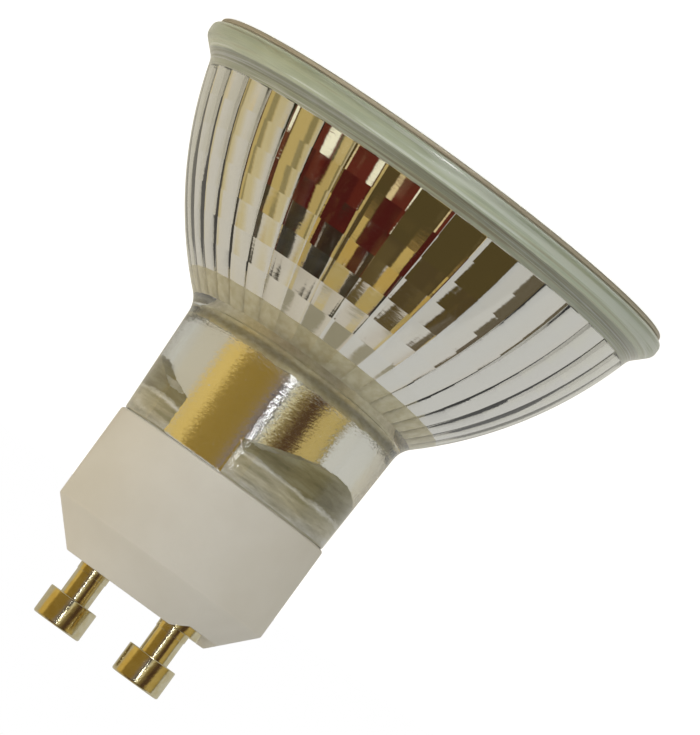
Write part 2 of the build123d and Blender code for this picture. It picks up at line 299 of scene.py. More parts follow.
on_neck = put(tree, "MapRange", {
    "Value": height, "From Min": bowl_smooth * MM, "From Max": neck_pebbled * MM,
})
pebbles = put(tree, "TexNoise", {"Vector": spot, "Scale": 1 / (pebble_size * MM), "Detail": 2.0})
pebbles = put(tree, "Math", {0: pebbles, 1: on_neck}, operation="MULTIPLY")
surface = put(tree, "Bump", {"Height": pebbles, "Distance": pebble_depth * MM, "Normal": surface})
frosting = put(tree, "MapRange", {"Value": on_rim, "To Min": 0.0, "To Max": 0.18})
shader = put(tree, "BsdfPrincipled", {
    "Base Color": tint, "Roughness": frosting, "IOR": 1.52, "Transmission Weight": 1.0, "Normal": surface,
})
put(tree, "OutputMaterial", {"Surface": shader})

aluminium = linear("#efeeec")
film, tree, spot = new_material("aluminised_glass_face")
# Vapour-deposited aluminium on the fluted face: a mirror with the plunger's lines across it. The real lines
# are under 0.1 mm, too fine to show, so they are drawn as soft marks 0.25 mm high and 1.2 mm long. A stretch
# divides the size of a pattern along each axis.
line_size, line_stretch, line_depth = 0.6, (0.5, 0.5, 2.4), 0.004
stretched = put(tree, "Mapping", {"Vector": spot, "Scale": line_stretch})
lines = put(tree, "TexNoise", {
    "Vector": stretched, "Scale": 1 / (line_size * MM), "Detail": 3.0, "Roughness": 0.6,
})
shader = put(tree, "BsdfPrincipled", {
    "Base Color": aluminium, "Metallic": 1.0, "Roughness": 0.03,
    "Normal": put(tree, "Bump", {"Height": lines, "Distance": line_depth * MM}),
})
put(tree, "OutputMaterial", {"Surface": shader})

bore_film, tree, spot = new_material("aluminised_neck_face")
# The same film in the bore, over short marks of the plunger that break up what it mirrors. Towards the bowl
# it thins out along a ragged edge, and what is left is dull and straw-coloured.
film_edge, edge_blur, edge_wander, ragged_size = 23.0, 0.15, 0.9, 1.0
mark_size, mark_stretch, mark_depth = 0.45, (0.8, 0.8, 2.4), 0.02
cloud_size = 0.7
height = put(tree, "SeparateXYZ", {"Vector": spot}).outputs["Z"]
ragged = put(tree, "TexNoise", {
    "Vector": spot, "Scale": 1 / (ragged_size * MM), "Detail": 4.0, "Roughness": 0.65,
})
edge = put(tree, "Math", {0: ragged, 1: edge_wander * MM, 2: height}, operation="MULTIPLY_ADD")
covered = put(tree, "MapRange", {
    "Value": edge, "From Min": film_edge * MM, "From Max": (film_edge + edge_blur) * MM,
})
stretched = put(tree, "Mapping", {"Vector": spot, "Scale": mark_stretch})
marks = put(tree, "TexNoise", {
    "Vector": stretched, "Scale": 1 / (mark_size * MM), "Detail": 3.0, "Roughness": 0.6,
})
bright = put(tree, "BsdfPrincipled", {
    "Base Color": aluminium, "Metallic": 1.0, "Roughness": 0.04,
    "Normal": put(tree, "Bump", {"Height": marks, "Distance": mark_depth * MM}),
})
clouds = put(tree, "TexNoise", {"Vector": spot, "Scale": 1 / (cloud_size * MM), "Detail": 3.0})
straw = put(tree, "ValToRGB", {"Fac": clouds}, stops=[(0.35, "#d9d1ae"), (0.65, "#eee7ca")])
thin = put(tree, "BsdfPrincipled", {"Base Color": straw, "Metallic": 0.5, "Roughness": 0.27})
shader = put(tree, "MixShader", {0: covered, 1: thin, 2: bright})
put(tree, "OutputMaterial", {"Surface": shader})

pocket_face, tree, spot = new_material("silica_cement_on_glass")
# Silica cement that set against the glass of the pockets: olive grey towards the bowl, then a thin white line
# that is a painted highlight along the pocket's inner ridge, and nearly white at the end. It was wiped in,
# which leaves streaks round the bore.
smear_size, smear_stretch, smear_wander = 3.0, (0.5, 0.5, 1.4), 1.2
wipe_size, wipe_stretch, wipe_depth = 1.5, (0.3, 0.3, 2.0), 0.05
olive_from, white_from = 28.4, 34.6
height = put(tree, "SeparateXYZ", {"Vector": spot}).outputs["Z"]
stretched = put(tree, "Mapping", {"Vector": spot, "Scale": smear_stretch})
smears = put(tree, "TexNoise", {
    "Vector": stretched, "Scale": 1 / (smear_size * MM), "Detail": 4.0, "Roughness": 0.6,
})
wavy = put(tree, "Math", {0: smears, 1: smear_wander * MM, 2: height}, operation="MULTIPLY_ADD")
level = put(tree, "MapRange", {"Value": wavy, "From Min": olive_from * MM, "From Max": white_from * MM})
# The white stop at 0.5 is a painted highlight along the pocket's inner ridge
cement_tone_with_painted_ridge_highlight = put(tree, "ValToRGB", {"Fac": level}, stops=[
    (0.0, "#b5af8e"), (0.3, "#9f997a"), (0.45, "#a39d7f"), (0.5, "#ffffff"), (0.54, "#cfcab0"),
    (0.72, "#e6e2cf"), (0.84, "#ffffff"), (1.0, "#fffef4"),
])
stretched = put(tree, "Mapping", {"Vector": spot, "Scale": wipe_stretch})
wipes = put(tree, "TexNoise", {
    "Vector": stretched, "Scale": 1 / (wipe_size * MM), "Detail": 4.0, "Roughness": 0.6,
})
streaks = put(tree, "ValToRGB", {"Fac": wipes}, stops=[
    (0.34, "#c2c0ae"), (0.5, "#e9e7dc"), (0.62, "#ffffff"),
])
cement_tone_with_painted_ridge_highlight = put(tree, "MixRGB", {"Fac": 1.0, "Color1": cement_tone_with_painted_ridge_highlight, "Color2": streaks}, blend_type="MULTIPLY")
shader = put(tree, "BsdfPrincipled", {
    "Base Color": cement_tone_with_painted_ridge_highlight, "Roughness": 0.42,
    "Normal": put(tree, "Bump", {"Height": wipes, "Distance": wipe_depth * MM}),
})
put(tree, "OutputMaterial", {"Surface": shader})

bonded_face, tree, spot = new_material("silicone_on_glass")
# Silicone that set against the rim's step: milky and faintly green, with greyer and white rings painted in
# as reflection streaks along the rim
smear_size = 0.5
smears = put(tree, "TexNoise", {
    "Vector": ring_places(tree, spot), "Scale": 1 / (smear_size * MM), "Detail": 3.0, "Roughness": 0.6,
})
# The greyer and white rings of this ramp are painted reflection streaks
milk = put(tree, "ValToRGB", {"Fac": smears}, stops=[
    (0.34, "#bfb8a2"), (0.44, "#e8eadc"), (0.52, "#d2d6c6"), (0.6, "#ffffff"),
])
shader = put(tree, "BsdfPrincipled", {"Base Color": milk, "Roughness": 0.6})
put(tree, "OutputMaterial", {"Surface": shader})


def add_piece(name, points, faces, materials, slot, node):
    """A mesh in millimetres that rides with the lamp and stands for its CAD node."""
    mesh = bpy.data.meshes.new(name)
    mesh.from_pydata([Vector(p) * MM for p in points], [], faces)
    for material in materials:
        mesh.materials.append(material)
    piece = bpy.data.objects.new(name, mesh)
    scene.collection.objects.link(piece)
    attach(piece, "root")
    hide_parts(node)
    return piece


def smooth(piece, sharp_angle):
    """Smooth shading, with edges sharper than an angle kept crisp."""
    bm = bmesh.new()
    bm.from_mesh(piece.data)
    bmesh.ops.remove_doubles(bm, verts=bm.verts, dist=same_place)
    bmesh.ops.recalc_face_normals(bm, faces=bm.faces)
    for face in bm.faces:
        face.smooth = True
    for edge in bm.edges:
        edge.smooth = not edge.is_manifold or edge.calc_face_angle(0) < radians(sharp_angle)
    bm.to_mesh(piece.data)
    bm.free()


# Strip k lies between ring k and the next one. The bright film covers the flutes and the ledge at the bore,
# the bore's film starts in the row of flutes beside it, and cement fills the pockets.
BARE, FLUTE_FILM, BORE_FILM, CEMENTED, BONDED = range(5)
points = [p for ring in rings for p in ring]
faces, face_kinds = [], []
for k in range(len(rings)):
    below, above = k * strips, (k + 1) % len(rings) * strips
    kind = BARE
    if k == row_first - 1 or row_first < k <= row_last:
        kind = FLUTE_FILM
    elif len(outside) < k <= row_first:
        kind = BORE_FILM
    elif k == 0 or k > row_last:
        kind = BONDED
    for i in range(strips):
        j = (i + 1) % strips
        faces.append((below + i, below + j, above + j, above + i))
        angle = flute_turn + flute_angle * (i + 0.5) / flute_strips
        in_pocket = k < bore_first - 1 and pocket_wall(angle) > bore_radius
        face_kinds.append(CEMENTED if kind == BORE_FILM and in_pocket else kind)
reflector = add_piece("pressed_reflector", points, faces, [
    glass, film, bore_film, pocket_face, bonded_face,
], "reflector_glass", "reflector")
reflector.data.polygons.foreach_set("material_index", face_kinds)
smooth(reflector, 9)
# The rows meet at a shallow angle, and their edges are crisp all the same
row_heights = [rings[k][0][2] * MM for k in range(row_first, row_last + 1)]
mesh = reflector.data
for edge in mesh.edges:
    ends = [mesh.vertices[v].co for v in edge.vertices]
    near = min(row_heights, key=lambda z: abs(z - ends[0].z))
    if all(abs(co.z - near) < same_place and co.xy.length < collar_radius * MM for co in ends):
        edge.use_edge_sharp = True


# Front lens and its adhesive
# A flat disc of clear glass with a flange, which drops into the rim's step and closes the bowl. A thin bead
# of clear silicone between the two flanges holds it. From behind it shows only as a line along the rim.
lens_radius, lens_flange, lens_seat, lens_back = 24.5, 0.45, 23.3, 1.95
lens_rounds = 0.2, 0.12, 0.3
ground_depth = 0.25
bead_inner, bead_outer, bead_front, bead_back = 23.7, 24.4, 0.46, 0.56
inner_belly, outer_belly = 23.62, 24.47
lens_segments = 256

lens_glass, tree, spot = new_material("clear_lens_glass")
# Soda-lime glass, pressed and fire-polished: nearly colourless, with a slow wave that bends what it mirrors
wave_size, wave_depth = 6.0, 0.002
waves = put(tree, "TexNoise", {"Vector": spot, "Scale": 1 / (wave_size * MM)})
shader = put(tree, "BsdfPrincipled", {
    "Base Color": linear("#f4faf5"), "Roughness": 0.0, "IOR": 1.52, "Transmission Weight": 1.0,
    "Normal": put(tree, "Bump", {"Height": waves, "Distance": wave_depth * MM}),
})
put(tree, "OutputMaterial", {"Surface": shader})

lens_edge, tree, spot = new_material("ground_lens_edge")
# The lens is ground round its edge, which leaves it frosted; its brownish grey is painted shade from the
# floor under the front edge. The scratches are too fine to show, so they are drawn 0.4 mm wide.
scratch_size = 0.4
scratches = put(tree, "TexNoise", {
    "Vector": ring_places(tree, spot), "Scale": 1 / (scratch_size * MM), "Detail": 3.0, "Roughness": 0.6,
})
# Frosted glass, with brownish grey painted in as shade at the lens's front edge
ground_frost_and_painted_shade = put(tree, "ValToRGB", {"Fac": scratches}, stops=[(0.35, "#9d9077"), (0.65, "#cfc8b4")])
shader = put(tree, "BsdfPrincipled", {"Base Color": ground_frost_and_painted_shade, "Roughness": 0.5})
put(tree, "OutputMaterial", {"Surface": shader})


def turned(profile, segments, axis=(0, 0)):
    """Points and quads of a profile that starts and ends on its axis, which is parallel to the lamp's."""
    points, faces = [], []
    inner = profile[1:-1]
    for r, z in inner:
        points += [(axis[0] + r * cos(2 * pi * i / segments), axis[1] + r * sin(2 * pi * i / segments), z)
                   for i in range(segments)]
    for k in range(len(inner) - 1):
        a = k * segments
        for i in range(segments):
            j = (i + 1) % segments
            faces.append((a + i, a + j, a + segments + j, a + segments + i))
    for z, k in ((profile[0][1], 0), (profile[-1][1], len(inner) - 1)):
        points.append((axis[0], axis[1], z))
        faces += [(len(points) - 1, k * segments + i, k * segments + (i + 1) % segments)
                  for i in range(segments)]
    return points, faces


lens = add_piece("front_lens", *turned(eased([
    (0, 0, 0), (lens_radius, 0, lens_rounds[0]), (lens_radius, lens_flange, lens_rounds[1]),
    (lens_seat, lens_flange, 0), (lens_seat, lens_back, lens_rounds[2]), (0, lens_back, 0),
]), lens_segments), [lens_glass, lens_edge], "lens_glass", "cover_glass")
for face in lens.data.polygons:
    face.material_index = int(face.center.xy.length > (lens_radius - ground_depth) * MM)
smooth(lens, 30)

adhesive, tree, spot = new_material("clear_silicone")
# Silicone, squeezed out as a bead: milky, with faint clouds
cloud_size = 1.5
clouds = put(tree, "TexNoise", {"Vector": spot, "Scale": 1 / (cloud_size * MM)})
milk = put(tree, "ValToRGB", {"Fac": clouds}, stops=[(0.3, "#cfccbc"), (0.7, "#e0ded0")])
shader = put(tree, "BsdfPrincipled", {"Base Color": milk, "Roughness": 0.4, "IOR": 1.41})
put(tree, "OutputMaterial", {"Surface": shader})

bead_middle = (bead_front + bead_back) / 2
bead_profile = [
    (bead_inner, bead_front), (bead_outer, bead_front), (outer_belly, bead_middle),
    (bead_outer, bead_back), (bead_inner, bead_back), (inner_belly, bead_middle),
]
points, faces = [], []
for k, (r, z) in enumerate(bead_profile):
    a, b = k * lens_segments, (k + 1) % len(bead_profile) * lens_segments
    for i in range(lens_segments):
        j = (i + 1) % lens_segments
        angle = 2 * pi * i / lens_segments
        points.append((r * cos(angle), r * sin(angle), z))
        faces.append((a + i, a + j, b + j, b + i))
bead = add_piece("adhesive_bead", points, faces, [adhesive], "adhesive", "lens_adhesive")
smooth(bead, 60)


# Ceramic cap
# Steatite, dry-pressed and fired without a glaze: a straight wall, a bevel, a flat back, and round each pin
# a drafted recess that is open to the bevel. It is hollow, and its socket is cemented over the neck.
cap_radius, cap_front, cap_back = 11.2, 33.6, 47.05
wall_end, back_radius = 43.2, 7.6
socket_radius, socket_end = 9.45, 39.0
well_radius, well_end = 7.4, 42.5
cap_round, bevel_round = 0.3, 0.35
pin_place = 5.0
recess_floor, recess_radius = 46.12, 3.2
recess_top, recess_mouth = 47.5, 4.4
recess_reach = 8.0
cap_segments, recess_steps = 256, 24

ceramic, tree, spot = new_material("unglazed_steatite")
# Unglazed steatite: cream and matt, with faint clouds from firing. Its grain is under 0.05 mm, too fine to
# show, so it is drawn at 0.22 mm.
cloud_size = 7.0
grain_size, grain_depth = 0.22, 0.012
clouds = put(tree, "TexNoise", {"Vector": spot, "Scale": 1 / (cloud_size * MM), "Detail": 3.0})
cream = put(tree, "ValToRGB", {"Fac": clouds}, stops=[(0.3, "#e7e4da"), (0.7, "#efede5")])
grain = put(tree, "TexNoise", {
    "Vector": spot, "Scale": 1 / (grain_size * MM), "Detail": 3.0, "Roughness": 0.7,
})
shader = put(tree, "BsdfPrincipled", {
    "Base Color": cream, "Roughness": 0.55, "IOR": 1.6,
    "Normal": put(tree, "Bump", {"Height": grain, "Distance": grain_depth * MM}),
})
put(tree, "OutputMaterial", {"Surface": shader})

cap = add_piece("ceramic_base", *turned(eased([
    (0, well_end, 0), (well_radius, well_end, cap_round), (well_radius, socket_end, 0),
    (socket_radius, socket_end, 0), (socket_radius, cap_front, 0), (cap_radius, cap_front, cap_round),
    (cap_radius, wall_end, bevel_round), (back_radius, cap_back, cap_round), (0, cap_back, 0),
]), cap_segments), [ceramic], "cap_ceramic", "ceramic_cap")


def recess_outline(side, radius):
    """A half circle round a pin, open to the cap's outer side."""
    line = [(pin_place + recess_reach, radius), (pin_place, radius)]
    for n in range(1, recess_steps):
        angle = pi * n / recess_steps
        line.append((pin_place - radius * sin(angle), radius * cos(angle)))
    line += [(pin_place, -radius), (pin_place + recess_reach, -radius)]
    return [(side * x, side * y) for x, y in line]


def block(low_outline, high_outline, low_z, high_z):
    """Points and faces of an upright block between two outlines with as many points."""
    count = len(low_outline)
    points = [(x, y, low_z) for x, y in low_outline] + [(x, y, high_z) for x, y in high_outline]
    faces = [tuple(range(count))[::-1], tuple(range(count, 2 * count))]
    faces += [(i, (i + 1) % count, count + (i + 1) % count, count + i) for i in range(count)]
    return points, faces


def shape_with(piece, operation, points, faces):
    """Cuts a form out of a piece, or joins it on, and writes the result into the piece's own mesh."""
    mesh = bpy.data.meshes.new("tool")
    mesh.from_pydata([Vector(p) * MM for p in points], [], faces)
    tool = bpy.data.objects.new("tool", mesh)
    scene.collection.objects.link(tool)
    smooth(tool, 30)
    step = piece.modifiers.new("step", "BOOLEAN")
    step.object, step.operation, step.solver = tool, operation, "EXACT"
    bpy.context.view_layer.update()
    made = bpy.data.meshes.new_from_object(piece.evaluated_get(bpy.context.evaluated_depsgraph_get()))
    piece.modifiers.clear()
    piece.data = made
    bpy.data.objects.remove(tool)


for side in (1, -1):
    shape_with(cap, "DIFFERENCE", *block(
        recess_outline(side, recess_radius), recess_outline(side, recess_mouth), recess_floor, recess_top))
smooth(cap, 20)


# Contact pins
# Turned brass, plated with bright nickel: a head, a shank and a root ring, on a collar that fills the floor
# of the recess. The tail goes through the cap and is riveted and soldered inside.
tail_radius, tail_end = 1.3, 42.6
collar_radius, collar_front, collar_back = 2.4, 46.14, 47.01
root_radius, root_end = 1.56, 47.75
shank_radius, head_front = 1.5, 50.33
head_radius, head_back = 2.5, 53.23
collar_edge, root_edge, head_edges = 0.08, 0.05, (0.1, 0.2)
pin_segments = 96

plate, tree, spot = new_material("bright_nickel_plate")
# Nickel, plated in a barrel: bright, with small dents from the other pins and a warm cast where it is thin
cast_size = 0.9
dent_size, dent_depth = 0.3, 0.011
cast = put(tree, "TexNoise", {"Vector": spot, "Scale": 1 / (cast_size * MM), "Detail": 4.0})
warm = put(tree, "ValToRGB", {"Fac": cast}, stops=[(0.35, "#cfc39d"), (0.65, "#d8d1b8")])
dents = put(tree, "TexNoise", {
    "Vector": spot, "Scale": 1 / (dent_size * MM), "Detail": 3.0, "Roughness": 0.65,
})
shader = put(tree, "BsdfPrincipled", {
    "Base Color": warm, "Metallic": 1.0,
    "Roughness": put(tree, "MapRange", {"Value": dents, "To Min": 0.08, "To Max": 0.2}),
    "Normal": put(tree, "Bump", {"Height": dents, "Distance": dent_depth * MM}),
})
put(tree, "OutputMaterial", {"Surface": shader})

pin_profile = eased([
    (0, tail_end, 0), (tail_radius, tail_end, 0), (tail_radius, collar_front, 0),
    (collar_radius, collar_front, 0), (collar_radius, collar_back, collar_edge),
    (root_radius, collar_back, 0), (root_radius, root_end, root_edge), (shank_radius, root_end, 0),
    (shank_radius, head_front, 0), (head_radius, head_front, head_edges[0]),
    (head_radius, head_back, head_edges[1]), (0, head_back, 0),
])
for number, side in ((1, 1), (2, -1)):
    pin = add_piece(f"pin_{number}", *turned(pin_profile, pin_segments, (pin_place * side, 0)),
                    [plate], "pin_metal", f"contact_pin_{number}")
    smooth(pin, 35)


# Burner
# A capsule of fused quartz on the lamp's axis: a drawn tube with a domed front and a sealed exhaust tip,
# pressed flat at the back into a pinch that grips the foils. It is hollow, and cement holds it in the neck.
burner_radius, burner_wall, burner_centre = 4.5, 1.0, 12.0
tube_end, hollow_end = 22.5, 20.25
tip_profile = [(0, 5.9), (0.25, 5.92), (0.42, 6.1), (0.6, 6.6), (0.85, 7.3), (1.5, 7.757)]
tip_root = 1.6
pinch_width, pinch_depth, pinch_round = 10.4, 3.4, 0.8
pinch_end = 34.5
burner_segments, dome_steps, corner_steps = 96, 20, 6

quartz, tree, spot = new_material("clear_fused_quartz")
# Fused quartz, drawn as a tube: colourless and clear, with faint lines along it
draw_size, draw_stretch, draw_depth = 1.0, (2.0, 2.0, 0.15), 0.006
stretched = put(tree, "Mapping", {"Vector": spot, "Scale": draw_stretch})
lines = put(tree, "TexNoise", {"Vector": stretched, "Scale": 1 / (draw_size * MM), "Detail": 2.0})
shader = put(tree, "BsdfPrincipled", {
    "Base Color": linear("#fafbfc"), "Roughness": 0.0, "IOR": 1.46, "Transmission Weight": 1.0,
    "Normal": put(tree, "Bump", {"Height": lines, "Distance": draw_depth * MM}),
})
put(tree, "OutputMaterial", {"Surface": shader})


def domed(radius, end_z):
    """Profile of a tube's body with a half-round front and a flat end."""
    line = []
    for n in range(dome_steps + 1):
        angle = pi / 2 * n / dome_steps
        line.append((radius * sin(angle), burner_centre - radius * cos(angle)))
    return line + [(radius, end_z), (0, end_z)]


pinch_outline = []
for sx, sy, start in ((1, 1, 0), (-1, 1, 90), (-1, -1, 180), (1, -1, 270)):
    for n in range(corner_steps + 1):
        angle = radians(start + 90 * n / corner_steps)
        pinch_outline.append((sx * (pinch_width / 2 - pinch_round) + pinch_round * cos(angle),
                              sy * (pinch_depth / 2 - pinch_round) + pinch_round * sin(angle)))
body = [p for p in domed(burner_radius, tube_end) if p[0] > tip_root or p[1] > burner_centre]
envelope = add_piece("quartz_capsule", *turned(tip_profile + body, burner_segments),
                     [quartz], "quartz", "burner_envelope")
smooth(envelope, 30)
shape_with(envelope, "UNION", *block(pinch_outline, pinch_outline, hollow_end, pinch_end))
shape_with(envelope, "DIFFERENCE", *turned(domed(burner_radius - burner_wall, hollow_end), burner_segments))
smooth(envelope, 25)


# Filament
# Drawn tungsten wire, wound to a close coil and bent to a hairpin: two straight legs that sit on the lead-in
# wires, and a round bend that the hook of the support holds.
leg, bend_z, leg_end = 1.6, 11.8, 18.5
coil_reach, coil_wire, coil_pitch, coil_margin = 0.365, 0.08, 0.26, 0.09
turn_steps, wire_sides = 14, 6

tungsten, tree, spot = new_material("drawn_tungsten")
# Tungsten wire: dark grey metal, tarnished in patches by the heat
tarnish_size, gloss_size = 0.6, 0.3
patches = put(tree, "TexNoise", {"Vector": spot, "Scale": 1 / (tarnish_size * MM), "Detail": 2.0})
gloss = put(tree, "TexNoise", {"Vector": spot, "Scale": 1 / (gloss_size * MM)})
shader = put(tree, "BsdfPrincipled", {
    "Base Color": put(tree, "ValToRGB", {"Fac": patches}, stops=[(0.3, "#6b6864"), (0.7, "#86827c")]),
    "Metallic": 1.0, "Roughness": put(tree, "MapRange", {"Value": gloss, "To Min": 0.3, "To Max": 0.5}),
})
put(tree, "OutputMaterial", {"Surface": shader})

leg_length = leg_end - bend_z
line_length = 2 * leg_length + pi * leg


def hairpin(s):
    """Point and direction of the hairpin line at a length along it."""
    if s < leg_length:
        return Vector((-leg, 0, leg_end - s)), Vector((0, 0, -1))
    if s > line_length - leg_length:
        return Vector((leg, 0, bend_z + s - (line_length - leg_length))), Vector((0, 0, 1))
    a = (s - leg_length) / leg
    return Vector((-leg * cos(a), 0, bend_z - leg * sin(a))), Vector((sin(a), 0, -cos(a)))


last = int(line_length / coil_pitch) * turn_steps
side_way = Vector((0, 1, 0))
centres = []
for i in range(last + 1):
    middle, along = hairpin(coil_margin + (line_length - 2 * coil_margin) * i / last)
    phase = 2 * pi * i / turn_steps
    centres.append(middle + (side_way * cos(phase) + along.cross(side_way) * sin(phase)) * coil_reach)
points, faces = [], []
for i, centre in enumerate(centres):
    along = (centres[min(i + 1, last)] - centres[max(i - 1, 0)]).normalized()
    first = along.cross(Vector((0.3, 0.5, 0.81))).normalized()
    second = along.cross(first)
    angles = [2 * pi * n / wire_sides for n in range(wire_sides)]
    points += [centre + (first * cos(angle) + second * sin(angle)) * coil_wire for angle in angles]
    if i:
        a, b = (i - 1) * wire_sides, i * wire_sides
        faces += [(a + n, a + (n + 1) % wire_sides, b + (n + 1) % wire_sides, b + n)
                  for n in range(wire_sides)]
faces += [tuple(range(wire_sides))[::-1], tuple(range(last * wire_sides, (last + 1) * wire_sides))]
coil = add_piece("filament", points, faces, [tungsten], "tungsten", "filament_coil")
smooth(coil, 60)


# Cements, wires and fuse
# Cement round the neck and the pinch, leads, foils and a hook of molybdenum, an in-line fuse with its nickel
# lead, and solder at the pins. They are hidden or seen only through glass, and keep their CAD shapes.
cement, tree, spot = new_material("silica_lamp_cement")
# Silica cement, poured and set: off-white and granular, with greyer patches where it is thin
patch_size = 1.6
grit_size, grit_depth = 0.15, 0.02
patches = put(tree, "TexNoise", {
    "Vector": spot, "Scale": 1 / (patch_size * MM), "Detail": 4.0, "Roughness": 0.65,
})
grit = put(tree, "TexNoise", {
    "Vector": spot, "Scale": 1 / (grit_size * MM), "Detail": 2.0, "Roughness": 0.7,
})
shader = put(tree, "BsdfPrincipled", {
    "Base Color": put(tree, "ValToRGB", {"Fac": patches}, stops=[(0.35, "#a7a692"), (0.65, "#d4d3c9")]),
    "Roughness": 0.9, "Normal": put(tree, "Bump", {"Height": grit, "Distance": grit_depth * MM}),
})
put(tree, "OutputMaterial", {"Surface": shader})

molybdenum, tree, spot = new_material("drawn_molybdenum")
# Molybdenum wire and foil: grey and dull, with a thin oxide in patches
oxide_size, gloss_size = 0.8, 0.4
oxide = put(tree, "TexNoise", {"Vector": spot, "Scale": 1 / (oxide_size * MM), "Detail": 3.0})
gloss = put(tree, "TexNoise", {"Vector": spot, "Scale": 1 / (gloss_size * MM)})
shader = put(tree, "BsdfPrincipled", {
    "Base Color": put(tree, "ValToRGB", {"Fac": oxide}, stops=[(0.35, "#8d8a86"), (0.65, "#a6a39e")]),
    "Metallic": 1.0, "Roughness": put(tree, "MapRange", {"Value": gloss, "To Min": 0.3, "To Max": 0.45}),
})
put(tree, "OutputMaterial", {"Surface": shader})

nickel_wire, tree, spot = new_material("drawn_nickel_wire")
# Nickel wire: silvery, with marks of the die along it
die_size, die_stretch = 0.3, (2.0, 2.0, 0.2)
stretched = put(tree, "Mapping", {"Vector": spot, "Scale": die_stretch})
die_marks = put(tree, "TexNoise", {"Vector": stretched, "Scale": 1 / (die_size * MM), "Detail": 2.0})
shader = put(tree, "BsdfPrincipled", {
    "Base Color": linear("#b3afa6"), "Metallic": 1.0,
    "Roughness": put(tree, "MapRange", {"Value": die_marks, "To Min": 0.2, "To Max": 0.4}),
})
put(tree, "OutputMaterial", {"Surface": shader})

fuse_tube, tree, spot = new_material("fuse_steatite_tube")
# Fired steatite tube: pale and matt, with faint specks
speck_size = 0.5
specks = put(tree, "TexNoise", {"Vector": spot, "Scale": 1 / (speck_size * MM), "Detail": 3.0})
pale = put(tree, "ValToRGB", {"Fac": specks}, stops=[(0.3, "#c4bfb2"), (0.7, "#d5d1c6")])
shader = put(tree, "BsdfPrincipled", {"Base Color": pale, "Roughness": 0.7})
put(tree, "OutputMaterial", {"Surface": shader})

solder, tree, spot = new_material("tin_solder")
# Tin solder: silvery, bright where it ran and satin where it froze
frost_size = 0.3
frost = put(tree, "TexNoise", {"Vector": spot, "Scale": 1 / (frost_size * MM), "Detail": 3.0})
shader = put(tree, "BsdfPrincipled", {
    "Base Color": linear("#bdbdbb"), "Metallic": 1.0,
    "Roughness": put(tree, "MapRange", {"Value": frost, "To Min": 0.2, "To Max": 0.45}),
})
put(tree, "OutputMaterial", {"Surface": shader})

kept_nodes = {
    "cap_cement": cement, "burner_cement": cement, "filament_support": molybdenum, "fuse_body": fuse_tube,
    "fuse_lead": nickel_wire,
}
for number in (1, 2):
    for name in ("inner_lead", "seal_foil", "outer_lead"):
        kept_nodes[f"{name}_{number}"] = molybdenum
    kept_nodes[f"pin_solder_{number}"] = solder
for name, material in kept_nodes.items():
    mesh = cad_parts[name].data
    mesh.materials.clear()
    mesh.materials.append(material)


# Floor
# A roll of white paper, matt, on which the lamp stands on its lens. It is bright enough to meet the backdrop
# without an edge, and glass and metal look past it to the studio.
floor_half, floor_level = 3000.0, -0.2
fibre_size = 40.0
paper_glow = 0.85

paper, tree, spot = new_material("white_paper_roll")
# White paper: matt, hardly mottled
mottle = put(tree, "TexNoise", {"Vector": spot, "Scale": 1 / (fibre_size * MM)})
white = put(tree, "ValToRGB", {"Fac": mottle}, stops=[(0.3, "#e9e9e8"), (0.7, "#ededec")])
matt = put(tree, "BsdfDiffuse", {"Color": white})
glow = put(tree, "Emission", {"Strength": paper_glow})
backlit = put(tree, "AddShader", {0: matt, 1: glow})
ray = put(tree, "LightPath").outputs
solid = put(tree, "MixShader", {0: ray["Is Camera Ray"], 1: matt, 2: backlit})
mirrored = put(tree, "Math", {0: ray["Is Glossy Ray"], 1: ray["Is Transmission Ray"]}, operation="MAXIMUM")
shader = put(tree, "MixShader", {0: mirrored, 1: solid, 2: put(tree, "BsdfTransparent")})
put(tree, "OutputMaterial", {"Surface": shader})

corners = [(-1, -1), (1, -1), (1, 1), (-1, 1)]
mesh = bpy.data.meshes.new("floor")
mesh.from_pydata([Vector((x * floor_half, y * floor_half, floor_level)) * MM for x, y in corners], [],
                 [(0, 1, 2, 3)])
mesh.materials.append(paper)
floor = bpy.data.objects.new("floor", mesh)
scene.collection.objects.link(floor)


# Studio
# Soft white light all round. Glass and metal mirror a pale studio that opens on the camera's side to a room
# in brown, dark red and gilt. A direction has a bearing from the camera, positive to the picture's right, and
# a rise above the floor, both in degrees.
world = bpy.data.worlds.new("studio")
world.use_nodes = True
scene.world = world
tree = world.node_tree
tree.nodes.clear()
toward = put(tree, "VectorRotate", {
    "Vector": put(tree, "TexCoord").outputs["Generated"], "Angle": -view_azimuth,
}, rotation_type="Z_AXIS")
parts = put(tree, "SeparateXYZ", {"Vector": toward}).outputs
sideways = put(tree, "Math", {0: parts["Y"], 1: -1.0}, operation="MULTIPLY")
bearing = put(tree, "Math", {0: sideways, 1: parts["X"]}, operation="ARCTAN2")
bearing = put(tree, "Math", {0: bearing}, operation="DEGREES")
rise = put(tree, "Math", {0: parts["Z"]}, operation="ARCSINE")
rise = put(tree, "Math", {0: rise}, operation="DEGREES")


def between(value, low, high, soft):
    """1 where a value is between two limits, 0 outside, with soft edges."""
    entering = put(tree, "MapRange", {"Value": value, "From Min": low - soft, "From Max": low + soft})
    leaving = put(tree, "MapRange", {"Value": value, "From Min": high + soft, "From Max": high - soft})
    return put(tree, "Math", {0: entering, 1: leaving}, operation="MULTIPLY")


def field(bearings, rises, bearing_soft, rise_soft):
    """1 in a field of the room, given by its lowest and highest bearing and rise, with soft edges."""
    return put(tree, "Math", {
        0: between(bearing, *bearings, bearing_soft), 1: between(rise, *rises, rise_soft),
    }, operation="MULTIPLY")


